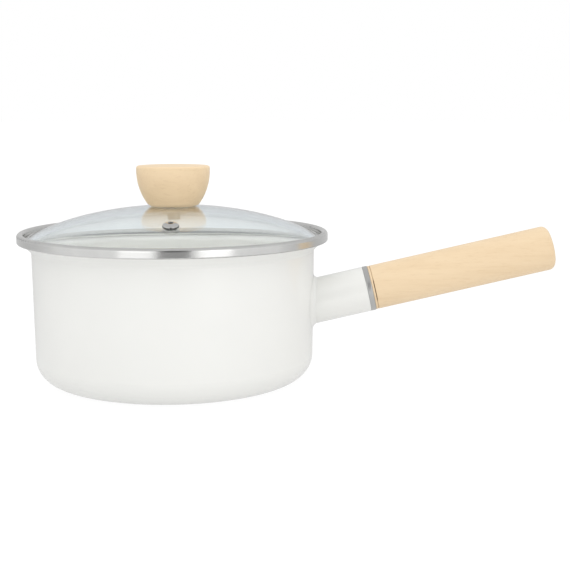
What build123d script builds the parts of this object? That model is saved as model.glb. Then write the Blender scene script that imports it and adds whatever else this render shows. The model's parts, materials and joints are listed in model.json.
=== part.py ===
from build123d import *
import os
from math import acos, cos, degrees, radians, sin, sqrt

# Saucepan of enamelled steel with a straight wooden handle and a domed glass lid.
# Millimetres, +Z up. The origin is on the pan's axis, on the surface it stands on.
# The handle points along +X.

# Pan: one deep-drawn sheet, flat base, flared lid seat and a curled lip
SHEET = 1.2
PAN_HEIGHT = 96.0
BASE_CORNER_RADIUS = 15.5
WALL_FOOT_RADIUS = 89.75
WALL_TOP_RADIUS = 90.7
FLARE_START = 84.2
FLARE_RADII = (3.0, 3.2)
CURL_GAP = 1.1
CURL_RADIUS = 0.5

# Stainless band crimped over the curled lip
RIM_RADIUS = 99.5
BAND_SHEET = 0.4
BAND_HEIGHT = 6.1
BAND_INNER_DEPTH = 4.2
BAND_TUCK = 1.7
BAND_TUCK_RADIUS = 0.3

# Handle: welded socket, collar, turned grip and the long bolt that clamps them
HANDLE_TILT = 13.0
HANDLE_HEIGHT = 49.5
SOCKET_RADIUS = 14.65
SOCKET_LENGTH = 35.25
SOCKET_FLARE = 2.5
SOCKET_WELD_GAP = 0.03
COLLAR_WIDTH = 3.4
COLLAR_CROWN = 0.5
GRIP_RADIUS = 14.35
GRIP_LENGTH = 119.0
GRIP_FRONT_BREAK = 0.4
GRIP_END_RADIUS = 4.0
GROOVE_START = 1.3
GROOVE_WIDTH = 0.5
GROOVE_DEPTH = 0.4
SPIGOT_RADIUS = 11.0
SPIGOT_LENGTH = 7.6
END_PLATE_THICKNESS = 2.0
BOLT_RADIUS = 3.0
BOLT_CLEARANCE = 0.3
BOLT_HEAD_RADIUS = 5.25
BOLT_HEAD_HEIGHT = 4.0
BOLT_TAIL = 2.0
NUT_ACROSS_FLATS = 10.0
NUT_HEIGHT = 5.0
COUNTERBORE_RADIUS = 7.0
COUNTERBORE_DEPTH = 12.0
BOLT_WASHER_RADIUS = 6.5
BOLT_WASHER_THICKNESS = 1.2

# Lid: tempered glass, half an ellipse in section, with a folded steel trim.
# The inner ellipse is narrower by a little more than it is lower, which keeps the glass even.
DOME_TOP = 112.0
DOME_HALF_WIDTH = 115.0
DOME_HALF_HEIGHT = 47.2
DOME_NARROWING = 1.15
GLASS_THICKNESS = 4.0
GLASS_EDGE_RADIUS = 93.6
GLASS_EDGE_ROUND = 1.8
TRIM_SHEET = 0.4
TRIM_RADIUS = 94.75
TRIM_LIP_RADIUS = 92.7
TRIM_SKIRT_RADIUS = 91.4
TRIM_BEND_RADII = (0.8, 1.0, 0.55)
SEAT_CLEARANCE = 0.35

# Steam vent through the glass
VENT_RADIUS_ON_LID = 61.7
VENT_ANGLE = -86.0
VENT_BEAD_RADIUS = 5.1
VENT_BEAD_EDGE = 0.4
VENT_BEAD_HEIGHT = 2.4
VENT_BEAD_BULGE = 0.3
VENT_MOUTH_RADIUS = 2.4
VENT_MOUTH_ROUND = 0.4
VENT_BARREL_RADIUS = 2.7
VENT_HOLE_RADIUS = 1.6
VENT_RING_RADIUS = 3.7
VENT_RING_THICKNESS = 1.2

# Knob: turned wood on a brass insert, screwed up through the glass
KNOB_LIFT = 0.15
KNOB_TOP = 137.6
KNOB_BASE_RADIUS = 15.45
KNOB_RADIUS = 23.55
KNOB_SHOULDER = 134.5
KNOB_TOP_ROUND = 1.5
KNOB_FOOT_ROUND = 5.0
POCKET_RADIUS = 11.3
POCKET_RISE = 0.8
INSERT_RADIUS = 3.9
INSERT_LENGTH = 13.0
KNOB_BORE_DEPTH = 15.0
SCREW_RADIUS = 2.5
SCREW_ENGAGEMENT = 12.0
SCREW_HEAD_RADIUS = 4.2
SCREW_HEAD_HEIGHT = 2.2
SCREW_CLEARANCE = 0.2
GLASS_HOLE_RADIUS = 4.2
SLEEVE_GAP = 0.1
UPPER_GASKET_RADIUS = 11.0
LOWER_GASKET_RADIUS = 9.5
LOWER_GASKET_THICKNESS = 1.0
KNOB_WASHER_RADIUS = 8.0
KNOB_WASHER_THICKNESS = 0.9
LOCK_WASHER_RADIUS = 4.3
LOCK_WASHER_THICKNESS = 1.0
LOCK_WASHER_SLIT = 0.9

# Values that follow from the driving dimensions
CURL_OUTER = RIM_RADIUS - BAND_SHEET
CURL_TOP = PAN_HEIGHT - BAND_SHEET
CURL_INNER = CURL_OUTER - 2 * SHEET - CURL_GAP
CURL_END = PAN_HEIGHT - BAND_HEIGHT + BAND_SHEET
DOME_CENTRE = DOME_TOP - DOME_HALF_HEIGHT
GLASS_BOTTOM = DOME_TOP - GLASS_THICKNESS
KNOB_SEAT = DOME_TOP + POCKET_RISE
LOWER_GASKET_BOTTOM = GLASS_BOTTOM - LOWER_GASKET_THICKNESS
KNOB_WASHER_BOTTOM = LOWER_GASKET_BOTTOM - KNOB_WASHER_THICKNESS
LOCK_WASHER_BOTTOM = KNOB_WASHER_BOTTOM - LOCK_WASHER_THICKNESS
COLLAR_END = SOCKET_LENGTH + COLLAR_WIDTH
GRIP_END = COLLAR_END + GRIP_LENGTH
SPIGOT_START = COLLAR_END - SPIGOT_LENGTH
END_PLATE_START = SPIGOT_START - END_PLATE_THICKNESS
NUT_START = END_PLATE_START - NUT_HEIGHT
HEAD_SEAT = GRIP_END - COUNTERBORE_DEPTH + BOLT_WASHER_THICKNESS

HANDLE_FRAME = Plane(
    origin=(WALL_TOP_RADIUS, 0, HANDLE_HEIGHT),
    x_dir=(0, 1, 0),
    z_dir=(cos(radians(HANDLE_TILT)), 0, sin(radians(HANDLE_TILT))),
)


def dome_size(depth):
    """Half width and half height of the dome's ellipse at a depth below its outer surface."""
    return DOME_HALF_WIDTH - DOME_NARROWING * depth, DOME_HALF_HEIGHT - depth


def dome_point(radius, depth=0):
    """Point, as radius and height, on the dome or at a depth below it."""
    half_width, half_height = dome_size(depth)
    return (radius, DOME_CENTRE + half_height * sqrt(1 - (radius / half_width) ** 2))


def dome_curve(depth):
    """Section line of the dome at a depth, from the glass edge to the axis."""
    half_width, half_height = dome_size(depth)
    start = degrees(acos(GLASS_EDGE_RADIUS / half_width))
    return EllipticalCenterArc((0, DOME_CENTRE), half_width, half_height, start, arc_size=90 - start)


def under_dome(depth=0):
    """Solid that fills everything below the dome at a depth, down to the base."""
    edge = dome_point(GLASS_EDGE_RADIUS, depth)
    sides = Polyline(dome_point(0, depth), (0, 0), (GLASS_EDGE_RADIUS, 0), edge)
    return turned(make_face(dome_curve(depth).edges() + sides.edges()))


def vent_frame():
    """Frame on the outer face of the glass at the vent, Z out of the dome."""
    around = radians(VENT_ANGLE)
    radius, rise = dome_point(VENT_RADIUS_ON_LID)
    outward = radius / DOME_HALF_WIDTH**2
    upward = (rise - DOME_CENTRE) / DOME_HALF_HEIGHT**2
    return Plane(
        origin=(radius * cos(around), radius * sin(around), rise),
        z_dir=(outward * cos(around), outward * sin(around), upward),
    )


def turned(section):
    """Solid of revolution about Z from a face drawn as radius and height."""
    return revolve(Plane.XZ * section, Axis.Z)


def sheet_section(points, radii, thickness, side):
    """Section of a bent sheet: a filleted path thickened to one side."""
    path = FilletPolyline(*points, radius=list(radii))
    return make_face(offset(path, amount=thickness, side=side).edges())


def outline(*points):
    """Closed face from straight lines."""
    return make_face(Polyline(*points, close=True))


def ring(outer, inner, bottom, top):
    """Plain ring, or disc with a hole, between two heights."""
    return turned(outline((inner, bottom), (outer, bottom), (outer, top), (inner, top)))


def rod(radius, bottom, top):
    """Round bar about Z between two heights."""
    return turned(outline((0, bottom), (radius, bottom), (radius, top), (0, top)))


def outer_edges(solid, radius):
    """Circular edges of a turned solid at one radius, the highest last."""
    circles = solid.edges().filter_by(GeomType.CIRCLE)
    return sorted((e for e in circles if abs(e.radius - radius) < SLEEVE_GAP), key=lambda e: e.center().Z)


def pan_body():
    """Drawn sheet from the centre of the base to the end of the outward curl."""
    leg_outside = CURL_INNER + SHEET
    path = (
        (0, 0),
        (WALL_FOOT_RADIUS, 0),
        (WALL_TOP_RADIUS, FLARE_START),
        (leg_outside, FLARE_START + leg_outside - WALL_TOP_RADIUS),
        (leg_outside, CURL_TOP - SHEET),
        (CURL_OUTER - SHEET, CURL_TOP - SHEET),
        (CURL_OUTER - SHEET, CURL_END + BAND_TUCK_RADIUS),
    )
    radii = (BASE_CORNER_RADIUS, *FLARE_RADII, CURL_RADIUS, CURL_RADIUS)
    return turned(sheet_section(path, radii, SHEET, Side.LEFT))


def rim_band():
    """Channel that wraps the curl and tucks in under its free edge."""
    path = (
        (CURL_INNER, PAN_HEIGHT - BAND_INNER_DEPTH),
        (CURL_INNER, CURL_TOP),
        (CURL_OUTER, CURL_TOP),
        (CURL_OUTER, CURL_END),
        (CURL_OUTER - BAND_TUCK, CURL_END),
    )
    crown = CURL_RADIUS + SHEET
    return turned(sheet_section(path, (crown, crown, BAND_TUCK_RADIUS), BAND_SHEET, Side.RIGHT))


def pan_envelope(grown=0):
    """Outside of the plain wall as a full solid, to seat the socket on."""
    foot = WALL_FOOT_RADIUS + grown
    top = WALL_TOP_RADIUS + grown
    return turned(outline((0, 0), (foot, 0), (top, FLARE_START), (0, FLARE_START)))


def handle_socket():
    """Tube whose foot is cut to the round wall and flares into it."""
    welded = pan_envelope() + HANDLE_FRAME * rod(SOCKET_RADIUS, -SOCKET_RADIUS, SOCKET_LENGTH)
    flared = fillet(welded.edges().filter_by(GeomType.BSPLINE), SOCKET_FLARE)
    reach = 4 * SOCKET_RADIUS
    block = Pos(WALL_TOP_RADIUS, 0, HANDLE_HEIGHT) * Box(2 * reach, reach, reach)
    beside_wall = block - pan_envelope(SOCKET_WELD_GAP)
    bore = HANDLE_FRAME * rod(SOCKET_RADIUS - SHEET, -SOCKET_RADIUS, SOCKET_LENGTH)
    return (flared & beside_wall) - bore


def socket_end_plate():
    """Disc welded inside the socket, behind the spigot of the grip."""
    plate = ring(SOCKET_RADIUS - SHEET, BOLT_RADIUS + BOLT_CLEARANCE, END_PLATE_START, SPIGOT_START)
    return HANDLE_FRAME * plate


def socket_nut():
    """Hexagon nut welded to the back of the end plate."""
    hexagon = RegularPolygon(NUT_ACROSS_FLATS / 2, 6, major_radius=False) - Circle(BOLT_RADIUS)
    return HANDLE_FRAME * Pos(0, 0, NUT_START) * extrude(hexagon, NUT_HEIGHT)


def handle_collar():
    """Polished ring between socket and grip, its outer edges eased."""
    collar = ring(SOCKET_RADIUS, SPIGOT_RADIUS, SOCKET_LENGTH, COLLAR_END)
    return HANDLE_FRAME * fillet(outer_edges(collar, SOCKET_RADIUS), COLLAR_CROWN)


def handle_grip():
    """Turned grip with a fine groove, a spigot, a bolt hole and a counterbore at the rear."""
    hole = BOLT_RADIUS + BOLT_CLEARANCE
    grip = ring(GRIP_RADIUS, hole, COLLAR_END, GRIP_END)
    grip = fillet([outer_edges(grip, GRIP_RADIUS)[0]], GRIP_FRONT_BREAK)
    grip = fillet([outer_edges(grip, GRIP_RADIUS)[-1]], GRIP_END_RADIUS)
    start = COLLAR_END + GROOVE_START
    end = start + GROOVE_WIDTH
    bottom = (GRIP_RADIUS - GROOVE_DEPTH, (start + end) / 2)
    grip -= turned(outline((GRIP_RADIUS, start), (GRIP_RADIUS, end), bottom))
    grip += ring(SPIGOT_RADIUS, hole, SPIGOT_START, COLLAR_END)
    grip -= rod(COUNTERBORE_RADIUS, GRIP_END - COUNTERBORE_DEPTH, GRIP_END)
    return HANDLE_FRAME * grip


def bolt_washer():
    """Flat washer at the bottom of the counterbore."""
    bottom = HEAD_SEAT - BOLT_WASHER_THICKNESS
    return HANDLE_FRAME * ring(BOLT_WASHER_RADIUS, BOLT_RADIUS + BOLT_CLEARANCE, bottom, HEAD_SEAT)


def headed_screw(shank_radius, head_radius, head_height, seat, tip, recess_across_flats):
    """Screw along Z with a rounded head above the seat and a hexagon recess."""
    head = rod(head_radius, seat, seat + head_height)
    head = fillet([outer_edges(head, head_radius)[-1]], head_height / 2)
    recess = extrude(RegularPolygon(recess_across_flats / 2, 6, major_radius=False), head_height / 2)
    head -= Pos(0, 0, seat + head_height / 2) * recess
    return head + rod(shank_radius, tip, seat)


def handle_bolt():
    """Long bolt from the counterbore to the nut inside the socket."""
    bolt = headed_screw(
        BOLT_RADIUS, BOLT_HEAD_RADIUS, BOLT_HEAD_HEIGHT, HEAD_SEAT, NUT_START - BOLT_TAIL, BOLT_HEAD_HEIGHT
    )
    return HANDLE_FRAME * bolt


def lid_glass():
    """Domed glass with rounded edge, a screw hole and the vent hole."""
    edge = Line(dome_point(GLASS_EDGE_RADIUS), dome_point(GLASS_EDGE_RADIUS, GLASS_THICKNESS))
    axis = Line((0, GLASS_BOTTOM), (0, DOME_TOP))
    faces = dome_curve(0).edges() + dome_curve(GLASS_THICKNESS).edges()
    glass = turned(make_face(faces + edge.edges() + axis.edges()))
    glass = fillet(outer_edges(glass, GLASS_EDGE_RADIUS), GLASS_EDGE_ROUND)
    glass -= rod(GLASS_HOLE_RADIUS, LOWER_GASKET_BOTTOM, KNOB_SEAT)
    vent_hole = rod(VENT_BARREL_RADIUS, -2 * GLASS_THICKNESS, GLASS_THICKNESS)
    return glass - vent_frame() * vent_hole


def lid_rim(glass):
    """Steel trim folded round the glass edge, with a sloping skirt for the seat."""
    seat_rise = FLARE_START + SHEET * (sqrt(2) - 1) + SEAT_CLEARANCE * sqrt(2)
    seat_start = WALL_TOP_RADIUS - SHEET
    path = (
        dome_point(TRIM_LIP_RADIUS, -TRIM_SHEET),
        dome_point(TRIM_RADIUS, -TRIM_SHEET),
        (TRIM_RADIUS, seat_rise + TRIM_RADIUS - seat_start),
        (TRIM_SKIRT_RADIUS, seat_rise + TRIM_SKIRT_RADIUS - seat_start),
        dome_point(TRIM_SKIRT_RADIUS, GLASS_THICKNESS),
    )
    return turned(sheet_section(path, TRIM_BEND_RADII, TRIM_SHEET, Side.RIGHT)) - glass


def vent_eyelet():
    """Stainless tube through the glass with a domed bead that sits on it and rises to the mouth."""
    barrel_end = -GLASS_THICKNESS - VENT_RING_THICKNESS
    edge = (VENT_BEAD_RADIUS, VENT_BEAD_EDGE)
    mouth = (VENT_MOUTH_RADIUS, VENT_BEAD_HEIGHT)
    middle = ((edge[0] + mouth[0]) / 2 + VENT_BEAD_BULGE, (edge[1] + mouth[1]) / 2 + VENT_BEAD_BULGE)
    rest = Polyline(
        mouth,
        (VENT_HOLE_RADIUS, VENT_BEAD_HEIGHT),
        (VENT_HOLE_RADIUS, -VENT_RING_THICKNESS),
        (VENT_BEAD_RADIUS, -VENT_RING_THICKNESS),
        edge,
    )
    bead = turned(make_face(ThreePointArc(edge, middle, mouth).edges() + rest.edges()))
    bead = fillet([outer_edges(bead, VENT_HOLE_RADIUS)[-1]], VENT_MOUTH_ROUND)
    bead = vent_frame() * bead - under_dome()
    barrel = ring(VENT_BARREL_RADIUS, VENT_HOLE_RADIUS, barrel_end, VENT_BEAD_HEIGHT / 2)
    return bead + vent_frame() * barrel


def vent_ring():
    """Ring pressed on the vent's tube under the glass."""
    low = -GLASS_THICKNESS - VENT_RING_THICKNESS
    plain = ring(VENT_RING_RADIUS, VENT_BARREL_RADIUS, low, -GLASS_THICKNESS / 2)
    return vent_frame() * plain & under_dome(GLASS_THICKNESS)


def knob():
    """Turned knob: swelling side, short upright shoulder, rounded foot hollowed to the dome."""
    base = dome_point(KNOB_BASE_RADIUS)[1]
    rise = KNOB_SHOULDER - base
    swell = (rise**2 + (KNOB_RADIUS - KNOB_BASE_RADIUS) ** 2) / (2 * (KNOB_RADIUS - KNOB_BASE_RADIUS))
    middle = (KNOB_RADIUS - swell + sqrt(swell**2 - (rise / 2) ** 2), base + rise / 2)
    side = ThreePointArc((KNOB_BASE_RADIUS, base), middle, (KNOB_RADIUS, KNOB_SHOULDER))
    rest = Polyline(
        (KNOB_RADIUS, KNOB_SHOULDER),
        (KNOB_RADIUS, KNOB_TOP),
        (0, KNOB_TOP),
        (0, base),
        (KNOB_BASE_RADIUS, base),
    )
    wood = turned(make_face(side.edges() + rest.edges()))
    wood = fillet([outer_edges(wood, KNOB_RADIUS)[-1]], KNOB_TOP_ROUND)
    wood = fillet([outer_edges(wood, KNOB_BASE_RADIUS)[0]], KNOB_FOOT_ROUND)
    wood -= under_dome(-KNOB_LIFT)
    wood -= rod(POCKET_RADIUS, base, KNOB_SEAT)
    return wood - rod(INSERT_RADIUS, base, KNOB_SEAT + KNOB_BORE_DEPTH)


def knob_insert():
    """Threaded brass sleeve in the knob."""
    return ring(INSERT_RADIUS, SCREW_RADIUS, KNOB_SEAT, KNOB_SEAT + INSERT_LENGTH)


def knob_gasket_upper():
    """Soft washer in the knob's pocket, its underside shaped to the dome."""
    return ring(UPPER_GASKET_RADIUS, SCREW_RADIUS + SCREW_CLEARANCE, GLASS_BOTTOM, KNOB_SEAT) - under_dome()


def knob_gasket_lower():
    """Soft top-hat washer: its sleeve keeps the screw off the glass."""
    hole = SCREW_RADIUS + SCREW_CLEARANCE
    washer = ring(LOWER_GASKET_RADIUS, hole, LOWER_GASKET_BOTTOM, DOME_TOP) & under_dome(GLASS_THICKNESS)
    sleeve = ring(GLASS_HOLE_RADIUS - SLEEVE_GAP, hole, LOWER_GASKET_BOTTOM, DOME_TOP - SLEEVE_GAP)
    return washer + sleeve


def knob_washer():
    """Flat steel washer under the lower gasket."""
    hole = SCREW_RADIUS + SCREW_CLEARANCE
    return ring(KNOB_WASHER_RADIUS, hole, KNOB_WASHER_BOTTOM, LOWER_GASKET_BOTTOM)


def knob_lock_washer():
    """Split spring washer under the flat washer, closed up as tightened."""
    hole = SCREW_RADIUS + SCREW_CLEARANCE
    whole = ring(LOCK_WASHER_RADIUS, hole, LOCK_WASHER_BOTTOM, KNOB_WASHER_BOTTOM)
    slit = Box(LOCK_WASHER_RADIUS, LOCK_WASHER_SLIT, DOME_TOP, align=(Align.MIN, Align.CENTER, Align.MIN))
    return whole - slit


def knob_screw():
    """Screw from under the lid into the brass insert."""
    tip = KNOB_SEAT + SCREW_ENGAGEMENT
    upside_down = headed_screw(
        SCREW_RADIUS, SCREW_HEAD_RADIUS, SCREW_HEAD_HEIGHT, -LOCK_WASHER_BOTTOM, -tip, SCREW_HEAD_HEIGHT
    )
    return Rot(180, 0, 0) * upside_down


def write_parts():
    """Build every piece and write one file for each."""
    glass = lid_glass()
    pieces = {
        "pan_body": pan_body(),
        "rim_band": rim_band(),
        "handle_socket": handle_socket(),
        "socket_end_plate": socket_end_plate(),
        "socket_nut": socket_nut(),
        "handle_collar": handle_collar(),
        "handle_grip": handle_grip(),
        "handle_bolt": handle_bolt(),
        "bolt_washer": bolt_washer(),
        "lid_glass": glass,
        "lid_rim": lid_rim(glass),
        "vent_eyelet": vent_eyelet(),
        "vent_ring": vent_ring(),
        "knob": knob(),
        "knob_insert": knob_insert(),
        "knob_screw": knob_screw(),
        "knob_washer": knob_washer(),
        "knob_lock_washer": knob_lock_washer(),
        "knob_gasket_upper": knob_gasket_upper(),
        "knob_gasket_lower": knob_gasket_lower(),
    }
    for name, piece in pieces.items():
        export_step(piece, f"parts/{name}.step")


os.makedirs("parts", exist_ok=True)
write_parts()
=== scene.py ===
import json
import math

import bmesh
import bpy
from mathutils import Euler, Matrix, Vector


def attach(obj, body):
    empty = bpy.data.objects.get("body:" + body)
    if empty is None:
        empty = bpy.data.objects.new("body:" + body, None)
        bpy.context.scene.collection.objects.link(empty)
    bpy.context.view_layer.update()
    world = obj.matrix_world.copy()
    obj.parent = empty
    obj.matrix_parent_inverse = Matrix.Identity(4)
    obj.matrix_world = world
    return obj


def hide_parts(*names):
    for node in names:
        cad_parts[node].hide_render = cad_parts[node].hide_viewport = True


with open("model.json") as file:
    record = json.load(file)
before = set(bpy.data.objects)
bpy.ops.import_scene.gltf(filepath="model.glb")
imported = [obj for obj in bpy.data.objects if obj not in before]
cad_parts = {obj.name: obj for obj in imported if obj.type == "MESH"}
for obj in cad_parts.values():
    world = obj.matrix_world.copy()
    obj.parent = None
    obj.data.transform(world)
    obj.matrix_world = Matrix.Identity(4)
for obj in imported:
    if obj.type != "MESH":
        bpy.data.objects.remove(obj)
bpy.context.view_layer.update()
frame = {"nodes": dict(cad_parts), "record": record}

# Camera, in metres and degrees: a little above the lid, to the right of the pan's axis
CAMERA_PLACE = (0.0719, -0.707, 0.1709)
CAMERA_PITCH = 8.92
CAMERA_LENS = 69.22
SENSOR_WIDTH = 36.0

# World: white all round. Pairs of levels run from the horizon to the zenith, and change between the two
# heights. What steel mirrors at the horizon runs from front to back.
WHITE = (1, 1, 1, 1)
AMBIENT = (0.77, 1.18)
INTO_PAN = (2.4, 2.75)
THROUGH_GLASS = 0.92
GLASS_TINT = (0.88, 0.945, 1.0, 1)
MIRRORED = (1.22, 0.66)
MIRRORED_TOP = 0.76
TOP_HEIGHTS = (0.15, 0.75)

# Floor, in metres: FLOOR_GLOW is the share of its brightness that is its own light, where it lights the
# pan and where it is seen. What steel mirrors of it runs from front to back over FLOOR_SPAN.
FLOOR_SIZE = 40.0
FLOOR_DROP = 0.0002
FLOOR_COLOUR = (0.82, 0.82, 0.82, 1)
FLOOR_GLOW = (0.35, 0.85)
FLOOR_LIGHT = 0.95
FLOOR_WHITE = 1.08
FLOOR_MIRRORED = (1.0, 0.62)
FLOOR_SPAN = (-0.3, 0.3)

# Two soft panels and a dark card, in metres, watts and degrees: they stand in a ring round the pan and
# face its axis, the panels on both sides of the camera's direction and the card straight in it.
STAND_DISTANCE = 0.6
PANEL_ANGLES = (-25.3, 26.7)
PANEL_SIZE = (0.24, 0.3)
PANEL_LIFT = 0.014
PANEL_POWERS = (0.2, 0.27)
CARD_SIZE = (0.22, 0.5)
CARD_COLOUR = (0.05, 0.05, 0.05, 1)

# Lid glass, in metres: half an ellipse in section, rounded at its edge, with a vent hole. The half width
# of its faces shrinks a little faster with depth than their half height. Steps are round the lid, along
# a face and round the edge, and the passes settle where a face meets that round.
DOME_CENTRE = 0.0648
DOME_HALF_WIDTH = 0.115
DOME_HALF_HEIGHT = 0.0472
DOME_NARROWING = 1.15
GLASS_THICKNESS = 0.004
GLASS_EDGE_RADIUS = 0.0936
GLASS_EDGE_ROUND = 0.0018
GLASS_HOLE_RADIUS = 0.0042
GLASS_STEPS = (256, 56, 8)
EDGE_PASSES = 8
VENT_RADIUS_ON_LID = 0.0617
VENT_ANGLE = math.radians(-86.0)
VENT_HOLE_RADIUS = 0.0027
VENT_STEPS = 48
DRILL_LENGTH = 4 * GLASS_THICKNESS
SHARP_ANGLE = math.radians(40.0)

# Handle, in metres: its axis from the pan's wall, which widens upwards, and the enamel run into its root.
# Steps are round the handle and along the run.
HANDLE_TILT = math.radians(13.0)
HANDLE_ROOT = Vector((0.0907, 0, 0.0495))
HANDLE_AXIS = Vector((math.cos(HANDLE_TILT), 0, math.sin(HANDLE_TILT)))
HANDLE_UP = Vector((-HANDLE_AXIS.z, 0, HANDLE_AXIS.x))
SOCKET_RADIUS = 0.01465
WALL_FOOT_RADIUS = 0.08975
WALL_WIDENING = 0.00095
WALL_HEIGHT = 0.0842
WALL_GROWTH = WALL_WIDENING / WALL_HEIGHT
ROOT_RISE = 0.0026
ROOT_SPREAD = (0.003, 0.007)
ROOT_SKIN = 0.000015
ROOT_STEPS = (160, 18)

# Finishes: shades are places on a ramp with their colours, and roughness runs from the first value to
# the second as its noise rises
ENAMEL_SHADES = ((0.3, (0.83, 0.832, 0.805)), (0.7, (0.86, 0.86, 0.832)))
ENAMEL_ROUGHNESS = (0.285, 0.34)
ZINC_SHADES = ((0.3, (0.50, 0.51, 0.52)), (0.7, (0.62, 0.61, 0.58)))
ZINC_ROUGHNESS = (0.28, 0.42)
BRASS_SHADES = ((0.3, (0.66, 0.47, 0.18)), (0.7, (0.80, 0.60, 0.27)))
SILICONE_SHADES = ((0.3, (0.78, 0.79, 0.78)), (0.7, (0.84, 0.84, 0.83)))
GLASS_COLOUR = (0.975, 0.985, 0.975, 1)

# Steel: roughness and shade of each finish, how the lines vary the first, how lines round the pan spread
# what they mirror up and down, and the painted shade at the eyelet's foot over the glass, in metres from it.
# The shades are painted light and shade: lighter and darker copies of one steel, the trim lighter, the
# collar and eyelet darker.
STEEL_SHADES = ((0.3, (0.60, 0.60, 0.59)), (0.7, (0.66, 0.66, 0.65)))
STEELS = {
    "stainless": (0.24, 1.0),
    "collar_steel": (0.32, 0.85),
    "trim_steel": (0.16, 1.35),
    "eyelet_steel": (0.06, 0.92),
}
STEEL_VARIATION = (0.9, 1.12)
BRUSHED = {"Anisotropic": 0.8, "Anisotropic_Rotation": 0.25}
FOOT_SHADE_REACH = (0.0003, 0.0009)
FOOT_SHADE_COLOUR = (0.10, 0.097, 0.088, 1)

# Wood: shades of streaks, broad bands and flecks, each drawn out along the grain, and the knob's tone, which
# is partly the wood's own warmer colour and partly painted light that makes the knob lighter than the grip
WOOD_SHADES = ((0.25, (0.82, 0.63, 0.408)), (0.5, (0.86, 0.67, 0.443)), (0.75, (0.885, 0.70, 0.472)))
WOOD_BANDS = ((0.3, (0.965, 0.955, 0.94)), (0.7, (1.0, 1.0, 1.0)))
WOOD_FLECKS = ((0.30, (0.955, 0.94, 0.92)), (0.45, (1.0, 1.0, 1.0)))
WOOD_ROUGHNESS = (0.5, 0.42)
STREAK_STRETCH = (0.06, 1.0, 1.0)
FLECK_STRETCH = (0.12, 1.0, 1.0)
KNOB_TONE_AND_LIGHT = (1.08, 1.075, 1.06)

# Dark line in the grip's groove, in metres: how far along the handle, its solid and whole half width, and
# over which distance from the grip's middle its strength drops. The line is partly burnt and partly painted
# shade;
# its drop towards the grip's top and bottom is painted shade only.
GROOVE_REACH = 0.04020
GROOVE_HALF_WIDTH = (0.00020, 0.00045)
GROOVE_SHADE_FADE = (0.0045, 0.0085)
GROOVE_BURN_AND_SHADE = (0.9, 0.25)
BURNT_AND_SHADED_WOOD = (0.20, 0.115, 0.06, 1)

# Where a colour mix has its factor and two colours, and its result
MIX_INPUTS = (0, 6, 7)
MIX_RESULT = 2


class Graph:
    """Adds nodes to one material or world and links them."""

    def __init__(self, block, shader):
        block.use_nodes = True
        self.block = block
        self.tree = block.node_tree
        self.shader = self.tree.nodes[shader]

    def add(self, kind, inputs=None, **settings):
        node = self.tree.nodes.new(kind)
        for key, value in settings.items():
            setattr(node, key, value)
        for key, value in (inputs or {}).items():
            self.feed(node.inputs[key], value)
        return node

    def feed(self, socket, value):
        if isinstance(value, bpy.types.NodeSocket):
            self.tree.links.new(value, socket)
        else:
            socket.default_value = value

    def set(self, **inputs):
        for key, value in inputs.items():
            self.feed(self.shader.inputs[key.replace("_", " ")], value)

    def coords(self, kind="Object"):
        return self.add("ShaderNodeTexCoord").outputs[kind]

    def place(self, scale=(1, 1, 1), turn=(0, 0, 0)):
        inputs = {"Vector": self.coords(), "Scale": scale, "Rotation": turn}
        return self.add("ShaderNodeMapping", inputs).outputs["Vector"]

    def split(self, vector):
        return self.add("ShaderNodeSeparateXYZ", {"Vector": vector}).outputs

    def math(self, operation, *values):
        return self.add("ShaderNodeMath", dict(enumerate(values)), operation=operation).outputs[0]

    def noise(self, vector, scale, detail=3.0, roughness=0.5, distortion=0.0):
        inputs = {
            "Vector": vector,
            "Scale": scale,
            "Detail": detail,
            "Roughness": roughness,
            "Distortion": distortion,
        }
        return self.add("ShaderNodeTexNoise", inputs).outputs["Fac"]

    def ramp(self, factor, stops):
        node = self.add("ShaderNodeValToRGB", {"Fac": factor})
        elements = node.color_ramp.elements
        while len(elements) < len(stops):
            elements.new(0.5)
        for element, (place, colour) in zip(elements, stops):
            element.position = place
            element.color = (*colour, 1.0)
        return node.outputs["Color"]

    def mix(self, factor, first, second, blend="MIX"):
        inputs = dict(zip(MIX_INPUTS, (factor, first, second)))
        return self.add("ShaderNodeMix", inputs, data_type="RGBA", blend_type=blend).outputs[MIX_RESULT]

    def between(self, factor, low, high):
        """A value that goes evenly from low to high as the factor goes from 0 to 1."""
        inputs = {"Value": factor, "To Min": low, "To Max": high}
        return self.add("ShaderNodeMapRange", inputs).outputs["Result"]

    def mapped(self, value, source, target):
        """Turns one range of a value into another, smoothly and clamped."""
        names = ("From Min", "From Max", "To Min", "To Max")
        inputs = dict(zip(names, (*source, *target)), Value=value)
        return self.add("ShaderNodeMapRange", inputs, interpolation_type="SMOOTHSTEP").outputs["Result"]

    def choose(self, count, none, some):
        """One value where a count or flag is 0, the other where it is 1 or more."""
        return self.mapped(count, (0, 1), (none, some))

    def distance(self, point, normal):
        """Distance from a plane through a point."""
        along = self.add("ShaderNodeVectorMath", {0: self.coords(), 1: normal}, operation="DOT_PRODUCT")
        return self.math("ABSOLUTE", self.math("SUBTRACT", along.outputs["Value"], point.dot(normal)))

    def bump(self, height, strength, depth):
        inputs = {"Height": height, "Strength": strength, "Distance": depth}
        self.set(Normal=self.add("ShaderNodeBump", inputs).outputs["Normal"])


def material_graph(name):
    """Node graph of a new material."""
    return Graph(bpy.data.materials.new(name), "Principled BSDF")


def toned(shades, tone):
    """Shades with their colours multiplied by a tone."""
    return [(place, [a * b for a, b in zip(colour, tone)]) for place, colour in shades]


def enamel():
    """Thick white glaze: faint clouding and a shallow ripple under the gloss."""
    g = material_graph("white_enamel")
    where = g.place()
    g.set(
        Base_Color=g.ramp(g.noise(where, scale=14.0), ENAMEL_SHADES),
        Roughness=g.between(g.noise(where, scale=45.0), *ENAMEL_ROUGHNESS),
        IOR=1.5,
        Coat_Weight=0.5,
        Coat_Roughness=0.08,
    )
    g.bump(g.noise(where, scale=190.0, detail=1.0), strength=0.06, depth=0.0002)
    return g.block


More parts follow.
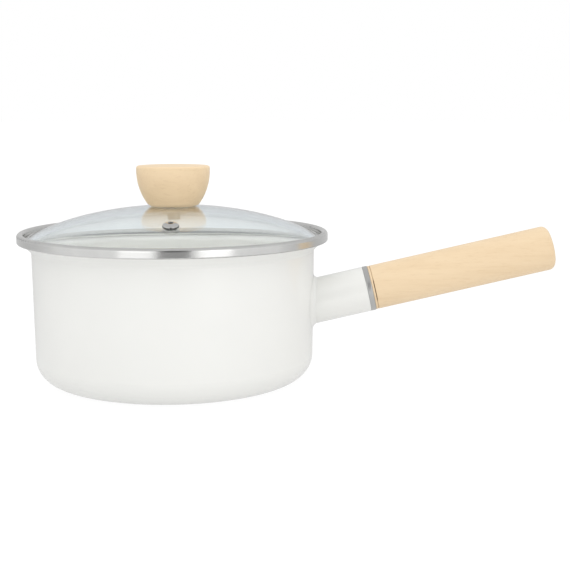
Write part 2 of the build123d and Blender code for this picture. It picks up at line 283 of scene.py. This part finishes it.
def stainless(name, turn=(0, 0, 0), foot=None, **finish):
    """Polished steel with fine lines round its axis, scaled by painted light; painted shade at a given foot.
    """
    g = material_graph(name)
    # The shade scales this copy of the steel: painted light above 1, painted shade below it.
    roughness, painted_light_scale = STEELS[name]
    where = g.place(turn=turn)
    parts = g.split(where)
    off_axis = g.add("ShaderNodeCombineXYZ", {"X": parts["X"], "Y": parts["Y"]}).outputs[0]
    radius = g.add("ShaderNodeVectorMath", {0: off_axis}, operation="LENGTH").outputs["Value"]
    section = g.add("ShaderNodeCombineXYZ", {"X": radius, "Y": parts["Z"]}).outputs[0]
    lines = g.noise(section, scale=9000.0, detail=2.0)
    colour = g.ramp(g.noise(where, scale=60.0), toned(STEEL_SHADES, (painted_light_scale, painted_light_scale, painted_light_scale)))
    # Painted shade darkens the steel towards its foot, where it meets the glass.
    if foot:
        painted_foot_shade = g.mapped(g.distance(*foot), FOOT_SHADE_REACH, (1, 0))
        colour = g.mix(painted_foot_shade, colour, FOOT_SHADE_COLOUR)
    g.set(
        Base_Color=colour,
        Metallic=1.0,
        Roughness=g.between(lines, *(roughness * share for share in STEEL_VARIATION)),
        **finish,
    )
    if finish:
        g.set(Tangent=g.add("ShaderNodeTangent", direction_type="RADIAL", axis="Z").outputs[0])
    g.bump(lines, strength=0.05, depth=0.00002)
    return g.block


def glass():
    """Clear tempered glass: the faint green of soda lime, and the slow waves that tempering leaves."""
    g = material_graph("clear_glass")
    g.set(
        Base_Color=GLASS_COLOUR,
        Roughness=0.0,
        IOR=1.5,
        Transmission_Weight=1.0,
    )
    g.bump(g.noise(g.place(), scale=22.0, detail=1.0), strength=0.08, depth=0.0004)
    return g.block


def wood(name, turn, tone=(1, 1, 1), groove=False):
    """Pale close-grained wood: faint streaks along the grain, and a burnt, painted-shade line in the grip's
    groove.
    """
    g = material_graph(name)
    along = g.place(scale=STREAK_STRETCH, turn=turn)
    flecks = g.noise(g.place(scale=FLECK_STRETCH, turn=turn), scale=900.0, detail=2.0)
    bands = g.noise(along, scale=40.0, detail=2.0)
    streaks = g.noise(along, scale=160.0, detail=4.0, roughness=0.6, distortion=0.4)
    colour = g.ramp(streaks, toned(WOOD_SHADES, tone))
    for layer in (g.ramp(bands, WOOD_BANDS), g.ramp(flecks, WOOD_FLECKS)):
        colour = g.mix(1.0, colour, layer, "MULTIPLY")
    # A burnt line and painted shade darken the groove; the painted shade fades towards the grip's top and
    # bottom.
    if groove:
        off_line = g.distance(HANDLE_ROOT + HANDLE_AXIS * GROOVE_REACH, HANDLE_AXIS)
        burn_and_shade = g.mapped(g.distance(HANDLE_ROOT, HANDLE_UP), GROOVE_SHADE_FADE, GROOVE_BURN_AND_SHADE)
        colour = g.mix(g.mapped(off_line, GROOVE_HALF_WIDTH, (burn_and_shade, 0)), colour, BURNT_AND_SHADED_WOOD)
    g.set(
        Base_Color=colour,
        Roughness=g.between(flecks, *WOOD_ROUGHNESS),
        IOR=1.45,
    )
    g.bump(flecks, strength=0.06, depth=0.00004)
    return g.block


def plated():
    """Zinc-plated fasteners: satin, slightly uneven."""
    g = material_graph("zinc_steel")
    patches = g.noise(g.place(), scale=220.0)
    g.set(
        Base_Color=g.ramp(patches, ZINC_SHADES),
        Metallic=1.0,
        Roughness=g.between(patches, *ZINC_ROUGHNESS),
    )
    return g.block


def brass():
    """Turned brass with tool marks."""
    g = material_graph("brass")
    marks = g.noise(g.place(scale=(0.05, 0.05, 1.0)), scale=4000.0)
    g.set(
        Base_Color=g.ramp(marks, BRASS_SHADES),
        Metallic=1.0,
        Roughness=0.3,
    )
    g.bump(marks, strength=0.2, depth=0.00003)
    return g.block


def silicone():
    """Milky soft rubber."""
    g = material_graph("silicone")
    grain = g.noise(g.place(), scale=600.0)
    g.set(
        Base_Color=g.ramp(grain, SILICONE_SHADES),
        Roughness=0.55,
    )
    g.bump(grain, strength=0.15, depth=0.00004)
    return g.block


def dress_nodes():
    """Gives every CAD piece its finish, by its slot or its own."""
    finishes = {
        "white_enamel": enamel(),
        "stainless": stainless("stainless", **BRUSHED),
        "zinc_steel": plated(),
        "clear_glass": glass(),
        "brass": brass(),
        "silicone": silicone(),
    }
    own = {
        "handle_grip": wood("grip_wood", (0, HANDLE_TILT, 0), groove=True),
        # The knob's tone is partly its own warmer colour and partly painted light that lightens its wood.
        "knob": wood("knob_wood", (0, math.pi / 2, 0), KNOB_TONE_AND_LIGHT),
        # Collar, trim and eyelet steels are darker and lighter copies of one steel: painted shade and
        # painted light.
        "handle_collar": stainless("collar_steel", (0, HANDLE_TILT - math.pi / 2, 0)),
        "lid_rim": stainless("trim_steel"),
        # The eyelet gets painted shade at its foot on the glass.
        "vent_eyelet": stainless("eyelet_steel", foot=vent_frame()),
    }
    for part in frame["record"]["subparts"]:
        node = part["node"]
        mesh = frame["nodes"][node].data
        mesh.materials.clear()
        mesh.materials.append(own.get(node) or finishes[part["material_slot"]])
    return finishes


def dome(radius, depth=0.0):
    """Height of the dome at a radius and a depth below its outer face, and the angle of its slope."""
    half_width = DOME_HALF_WIDTH - DOME_NARROWING * depth
    half_height = DOME_HALF_HEIGHT - depth
    drop = math.sqrt(1 - (radius / half_width) ** 2)
    return DOME_CENTRE + half_height * drop, math.atan(half_height * radius / (half_width**2 * drop))


def vent_frame():
    """Place of the vent on the outer face of the glass, and the way out of the dome there."""
    height, slope = dome(VENT_RADIUS_ON_LID)
    radial = Vector((math.cos(VENT_ANGLE), math.sin(VENT_ANGLE), 0))
    outward = radial * math.sin(slope) + Vector((0, 0, math.cos(slope)))
    return radial * VENT_RADIUS_ON_LID + Vector((0, 0, height)), outward


def dome_line(depth, side):
    """Section points from the screw hole to the round of the edge, whose middle is on the given side."""
    _, face_steps, round_steps = GLASS_STEPS
    middle = GLASS_EDGE_RADIUS - GLASS_EDGE_ROUND
    end = middle
    for _ in range(EDGE_PASSES):
        end = middle - side * GLASS_EDGE_ROUND * math.sin(dome(end, depth)[1])
    radii = [GLASS_HOLE_RADIUS + (end - GLASS_HOLE_RADIUS) * i / face_steps for i in range(face_steps + 1)]
    points = [(radius, dome(radius, depth)[0]) for radius in radii]
    height, slope = dome(end, depth)
    height += side * GLASS_EDGE_ROUND * math.cos(slope)
    start = math.pi / 2 - slope if side < 0 else -math.pi / 2 - slope
    for i in range(1, round_steps + 1):
        turn = start * (1 - i / round_steps)
        across, up = GLASS_EDGE_ROUND * math.cos(turn), GLASS_EDGE_ROUND * math.sin(turn)
        points.append((middle + across, height + up))
    return points


def smooth_piece(name, points, faces, material, body):
    """A smooth-shaded mesh that rides on a body."""
    mesh = bpy.data.meshes.new(name)
    mesh.from_pydata(points, [], faces)
    mesh.shade_smooth()
    mesh.set_sharp_from_angle(angle=SHARP_ANGLE)
    mesh.materials.append(material)
    piece = bpy.data.objects.new(name, mesh)
    bpy.context.collection.objects.link(piece)
    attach(piece, body)
    return piece


def ring_faces(count, row):
    """Faces between closed sections of so many points, one after another round a ring."""
    faces = []
    for i in range(count):
        here, there = i * row, (i + 1) % count * row
        for j in range(row):
            k = (j + 1) % row
            faces.append((here + j, here + k, there + k, there + j))
    return faces


def vent_drill():
    """Round bar through the glass where the vent goes."""
    place, outward = vent_frame()
    bar = bmesh.new()
    bmesh.ops.create_cone(
        bar,
        cap_ends=True,
        segments=VENT_STEPS,
        radius1=VENT_HOLE_RADIUS,
        radius2=VENT_HOLE_RADIUS,
        depth=DRILL_LENGTH,
        matrix=Matrix.Translation(place) @ outward.to_track_quat("Z", "Y").to_matrix().to_4x4(),
    )
    mesh = bpy.data.meshes.new("vent_drill")
    bar.to_mesh(mesh)
    bar.free()
    drill = bpy.data.objects.new("vent_drill", mesh)
    bpy.context.collection.objects.link(drill)
    return drill


def lid_dome(material):
    """The glass as one even lathe, so that nothing seen through it is bent by flat facets."""
    section = dome_line(0.0, -1) + dome_line(GLASS_THICKNESS, 1)[::-1]
    around = GLASS_STEPS[0]
    points = []
    for i in range(around):
        turn = 2 * math.pi * i / around
        points += [(radius * math.cos(turn), radius * math.sin(turn), height) for radius, height in section]
    faces = ring_faces(around, len(section))
    glass_piece = smooth_piece("lid_dome", points, faces, material, "lid")
    drill = vent_drill()
    cut = glass_piece.modifiers.new("vent", "BOOLEAN")
    cut.object = drill
    bpy.context.view_layer.update()
    bored = bpy.data.meshes.new_from_object(glass_piece.evaluated_get(bpy.context.evaluated_depsgraph_get()))
    glass_piece.modifiers.remove(cut)
    glass_piece.data = bored
    bored.set_sharp_from_angle(angle=SHARP_ANGLE)
    bpy.data.objects.remove(drill)
    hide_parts("lid_glass")


def on_wall(offset):
    """Point on the pan's wall along the handle's axis from an offset, and the wall's normal there."""
    start = HANDLE_ROOT + offset
    reach = WALL_FOOT_RADIUS + WALL_GROWTH * start.z
    square = HANDLE_AXIS.x**2 - (WALL_GROWTH * HANDLE_AXIS.z) ** 2
    half = start.x * HANDLE_AXIS.x - WALL_GROWTH * HANDLE_AXIS.z * reach
    rest = start.x**2 + start.y**2 - reach**2
    point = start + HANDLE_AXIS * ((math.sqrt(half**2 - square * rest) - half) / square)
    normal = Vector((point.x, point.y, -WALL_GROWTH * math.hypot(point.x, point.y)))
    return point, normal.normalized()


def socket_root(material):
    """Enamel that runs from the wall into the socket and covers the weld."""
    around, steps = ROOT_STEPS
    low, high = ROOT_SPREAD
    points = []
    for i in range(around):
        turn = 2 * math.pi * i / around
        outward = HANDLE_UP * math.cos(turn) - Vector((0, math.sin(turn), 0))
        spread = low + (high - low) * math.sin(turn) ** 2
        for j in range(steps + 1):
            bend = math.pi / 2 * j / steps
            foot, normal = on_wall(outward * (SOCKET_RADIUS + ROOT_SKIN + spread * (1 - math.cos(bend))))
            share = math.sin(bend) ** 2
            lean = (HANDLE_AXIS * (1 - share) + normal * share).normalized()
            points.append(foot + lean * (ROOT_RISE * (1 - math.sin(bend)) + ROOT_SKIN))
        corner, _ = on_wall(outward * SOCKET_RADIUS)
        points.append(corner)
    faces = ring_faces(around, steps + 2)
    smooth_piece("socket_root", points, faces, material, "pan")


def studio_world():
    """White to the camera, with its own levels where it lights, is mirrored or comes through glass."""
    world = bpy.data.worlds.new("studio")
    bpy.context.scene.world = world
    g = Graph(world, "Background")
    path = g.add("ShaderNodeLightPath").outputs
    way = g.split(g.coords("Generated"))
    around = g.mapped(way["Y"], (-1, 1), MIRRORED)
    mirrored = g.mapped(way["Z"], TOP_HEIGHTS, (around, MIRRORED_TOP))
    ambient = g.mapped(way["Z"], TOP_HEIGHTS, AMBIENT)
    shining = g.mapped(way["Z"], TOP_HEIGHTS, INTO_PAN)
    through = g.choose(path["Diffuse Depth"], THROUGH_GLASS, shining)
    level = g.choose(path["Is Glossy Ray"], ambient, mirrored)
    level = g.choose(path["Is Transmission Ray"], level, through)
    level = g.choose(path["Is Camera Ray"], level, 1)
    tinted = g.choose(path["Diffuse Depth"], path["Is Transmission Ray"], 0)
    g.set(Color=g.mix(tinted, WHITE, GLASS_TINT), Strength=level)


def matte(name, colour):
    """Node graph of a material without gloss."""
    g = material_graph(name)
    g.set(Base_Color=colour, Roughness=1.0, Specular_IOR_Level=0.0)
    return g


def floor_material():
    """White floor that shows as background and still takes the shadow."""
    g = matte("floor", FLOOR_COLOUR)
    path = g.add("ShaderNodeLightPath").outputs
    shown = g.math("MAXIMUM", path["Is Camera Ray"], path["Is Transmission Ray"])
    share = g.choose(g.math("MAXIMUM", shown, path["Is Glossy Ray"]), *FLOOR_GLOW)
    mirrored = g.mapped(g.split(g.place())["Y"], FLOOR_SPAN, FLOOR_MIRRORED)
    level = g.choose(path["Is Glossy Ray"], FLOOR_LIGHT, mirrored)
    level = g.choose(shown, level, FLOOR_WHITE)
    colour = g.mix(path["Is Transmission Ray"], WHITE, GLASS_TINT)
    glow = g.add("ShaderNodeEmission", {"Strength": level, "Color": colour})
    mixed = g.add("ShaderNodeMixShader", {0: share, 1: g.shader.outputs[0], 2: glow.outputs[0]})
    g.feed(g.tree.nodes["Material Output"].inputs["Surface"], mixed.outputs[0])
    return g.block


def flat_sheet(name, width, height, material):
    """Rectangle for the stage, centred on its own origin, in its XY plane."""
    mesh = bpy.data.meshes.new(name)
    x, y = width / 2, height / 2
    mesh.from_pydata([(-x, -y, 0), (x, -y, 0), (x, y, 0), (-x, y, 0)], [], [(0, 1, 2, 3)])
    mesh.materials.append(material)
    sheet = bpy.data.objects.new(name, mesh)
    bpy.context.collection.objects.link(sheet)
    return sheet


def stand(thing, angle, height):
    """Stands a light or sheet in the ring, at an angle from the camera's direction, seen only in mirrors."""
    turn = math.atan2(CAMERA_PLACE[1], CAMERA_PLACE[0]) + math.radians(angle)
    thing.location = (STAND_DISTANCE * math.cos(turn), STAND_DISTANCE * math.sin(turn), height)
    inward = Vector((0, 0, height)) - thing.location
    thing.rotation_euler = inward.to_track_quat("-Z", "Y").to_euler()
    thing.visible_camera = False
    thing.visible_transmission = False


def panel(name, power):
    """Rectangular soft light."""
    light = bpy.data.lights.new(name, "AREA")
    light.shape = "RECTANGLE"
    light.size, light.size_y = PANEL_SIZE
    light.energy = power
    lamp = bpy.data.objects.new(name, light)
    bpy.context.collection.objects.link(lamp)
    return lamp


def studio():
    """World, floor, a panel on each side of the camera's direction and a dark card between them."""
    studio_world()
    floor = flat_sheet("floor", FLOOR_SIZE, FLOOR_SIZE, floor_material())
    floor.location.z = -FLOOR_DROP
    for index, (angle, power) in enumerate(zip(PANEL_ANGLES, PANEL_POWERS)):
        stand(panel(f"panel_{index}", power), angle, PANEL_LIFT + PANEL_SIZE[1] / 2)
    card = flat_sheet("card", *CARD_SIZE, matte("card", CARD_COLOUR).block)
    stand(card, 0, CARD_SIZE[1] / 2)
    card.visible_diffuse = False
    card.visible_shadow = False


def camera():
    """The photograph's viewpoint."""
    data = bpy.data.cameras.new("camera")
    data.lens = CAMERA_LENS
    data.sensor_width = SENSOR_WIDTH
    view = bpy.data.objects.new("camera", data)
    view.location = CAMERA_PLACE
    view.rotation_euler = Euler((math.radians(90.0 - CAMERA_PITCH), 0, 0))
    bpy.context.collection.objects.link(view)
    bpy.context.scene.camera = view


finishes = dress_nodes()
socket_root(finishes["white_enamel"])
lid_dome(finishes["clear_glass"])
studio()
camera()
bpy.context.scene.view_settings.view_transform = "Standard"
